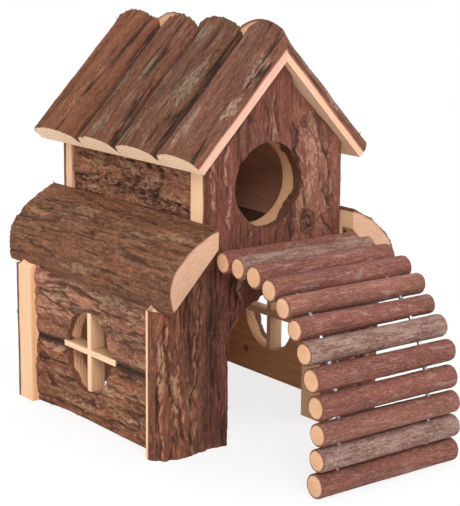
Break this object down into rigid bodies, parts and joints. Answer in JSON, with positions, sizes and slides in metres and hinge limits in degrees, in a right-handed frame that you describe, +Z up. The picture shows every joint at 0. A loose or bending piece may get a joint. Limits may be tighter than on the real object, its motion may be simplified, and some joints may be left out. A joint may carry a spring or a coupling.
{
  "type": "rodent house",
  "caption": "Small rodent house of bark-covered half logs: a gabled tower with a round entrance, two low wings with cross windows, and a bendable ladder of bark sticks.",
  "frame": {"origin": "on the ground, in the middle of the whole object's length and width, ladder included", "axes": "+Z up, -Y towards the ladder and the front, +X to the right seen from the front"},
  "size_m": [0.138, 0.216, 0.1953],
  "materials": {
    "bark_slab": "rough bark, sawn edges",
    "planed_strip": "planed pine",
    "floor_board": "sawn board",
    "stick_bark": "thin smooth bark",
    "wire": "zinc coated",
    "brad": "plain"
  },
  "bodies": {
    "house": {"front_wall_left_slab": "bark_slab", "front_wall_right_slab": "bark_slab", "back_wall_left_slab": "bark_slab", "back_wall_right_slab": "bark_slab", "upper_floor": "floor_board", "tower_left_side_wall": "bark_slab", "tower_right_side_wall": "bark_slab", "roof_left_slat_1": "bark_slab", "roof_left_slat_2": "bark_slab", "roof_left_slat_3": "bark_slab", "roof_left_slat_4": "bark_slab", "left_wing_front_slab": "bark_slab", "left_wing_back_slab": "bark_slab", "left_window_lower_log": "bark_slab", "left_window_upper_log": "bark_slab", "left_window_cross_upright": "planed_strip", "left_window_cross_rail": "planed_strip", "left_wing_roof_slab": "bark_slab", "roof_right_slat_1": "bark_slab", "roof_right_slat_2": "bark_slab", "roof_right_slat_3": "bark_slab", "roof_right_slat_4": "bark_slab", "right_wing_front_slab": "bark_slab", "right_wing_back_slab": "bark_slab", "right_window_lower_log": "bark_slab", "right_window_upper_log": "bark_slab", "right_window_cross_upright": "planed_strip", "right_window_cross_rail": "planed_strip", "right_wing_roof_slab": "bark_slab", "brads": "brad", "bridge_wire_left": "wire", "bridge_wire_right": "wire"},
    "stick_01": {"ladder_stick_01": "stick_bark"},
    "stick_02": {"ladder_stick_02": "stick_bark"},
    "stick_03": {"ladder_stick_03": "stick_bark"},
    "stick_04": {"ladder_stick_04": "stick_bark"},
    "stick_05": {"ladder_stick_05": "stick_bark"},
    "stick_06": {"ladder_stick_06": "stick_bark"},
    "stick_07": {"ladder_stick_07": "stick_bark"},
    "stick_08": {"ladder_stick_08": "stick_bark"},
    "stick_09": {"ladder_stick_09": "stick_bark"},
    "stick_10": {"ladder_stick_10": "stick_bark"},
    "stick_11": {"ladder_stick_11": "stick_bark"},
    "stick_12": {"ladder_stick_12": "stick_bark"}
  },
  "joints": [
    {"name": "bridge_bend_01", "type": "hinge", "parent": "house", "child": "stick_01", "pos_m": [0, -0.03027, 0.09045], "axis": [1, 0, 0], "range_deg": [-4, 5], "deforming": ["bridge_wire_left", "bridge_wire_right"]},
    {"name": "bridge_bend_02", "type": "hinge", "parent": "stick_01", "child": "stick_02", "pos_m": [0, -0.04176, 0.09025], "axis": [1, 0, 0], "range_deg": [-7, 5]},
    {"name": "bridge_bend_03", "type": "hinge", "parent": "stick_02", "child": "stick_03", "pos_m": [0, -0.05272, 0.08929], "axis": [1, 0, 0], "range_deg": [-11, 5]},
    {"name": "bridge_bend_04", "type": "hinge", "parent": "stick_03", "child": "stick_04", "pos_m": [0, -0.06403, 0.08668], "axis": [1, 0, 0], "range_deg": [-15, 5]},
    {"name": "bridge_bend_05", "type": "hinge", "parent": "stick_04", "child": "stick_05", "pos_m": [0, -0.07418, 0.08195], "axis": [1, 0, 0], "range_deg": [-16, 5]},
    {"name": "bridge_bend_06", "type": "hinge", "parent": "stick_05", "child": "stick_06", "pos_m": [0, -0.08316, 0.07493], "axis": [1, 0, 0], "range_deg": [-15, 5]},
    {"name": "bridge_bend_07", "type": "hinge", "parent": "stick_06", "child": "stick_07", "pos_m": [0, -0.09023, 0.0665], "axis": [1, 0, 0], "range_deg": [-13, 5]},
    {"name": "bridge_bend_08", "type": "hinge", "parent": "stick_07", "child": "stick_08", "pos_m": [0, -0.09583, 0.0568], "axis": [1, 0, 0], "range_deg": [-12, 5]},
    {"name": "bridge_bend_09", "type": "hinge", "parent": "stick_08", "child": "stick_09", "pos_m": [0, -0.10006, 0.04579], "axis": [1, 0, 0], "range_deg": [-12, 5]},
    {"name": "bridge_bend_10", "type": "hinge", "parent": "stick_09", "child": "stick_10", "pos_m": [0, -0.10243, 0.03464], "axis": [1, 0, 0], "range_deg": [-12, 5]},
    {"name": "bridge_bend_11", "type": "hinge", "parent": "stick_10", "child": "stick_11", "pos_m": [0, -0.10304, 0.02305], "axis": [1, 0, 0], "range_deg": [-9, 5]},
    {"name": "bridge_bend_12", "type": "hinge", "parent": "stick_11", "child": "stick_12", "pos_m": [0, -0.10244, 0.01167], "axis": [1, 0, 0], "range_deg": [-6, 5]}
  ]
}
